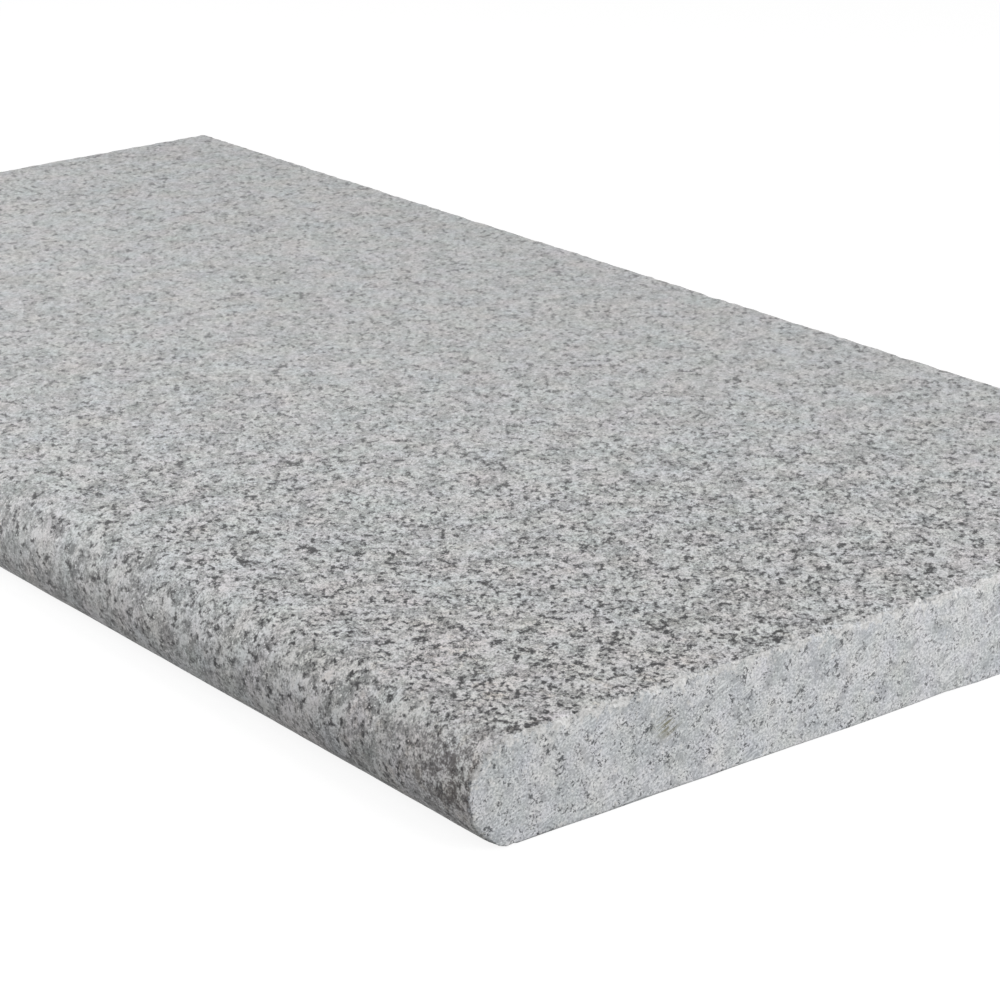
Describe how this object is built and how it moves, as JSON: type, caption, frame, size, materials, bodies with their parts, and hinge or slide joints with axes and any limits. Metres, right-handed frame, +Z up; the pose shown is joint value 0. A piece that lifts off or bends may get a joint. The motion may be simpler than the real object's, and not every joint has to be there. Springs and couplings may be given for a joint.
{
  "type": "granite bullnose pool coping",
  "caption": "Flat rectangular grey granite coping stone with a half-round nose along its pool edge, sawn ends and back, and a flamed top to cap a pool wall.",
  "frame": {"origin": "on the underside, at the middle of the stone's length and width", "axes": "+X along the pool wall, -Y towards the water, where the nose is, +Z up"},
  "size_m": [0.6, 0.3, 0.03],
  "materials": {
    "granite": "fine-grained light grey granite with dark mica flecks, flamed on the top and nose, sawn on the ends, back and underside"
  },
  "bodies": {
    "root": {"coping_slab": "granite"}
  },
  "joints": []
}
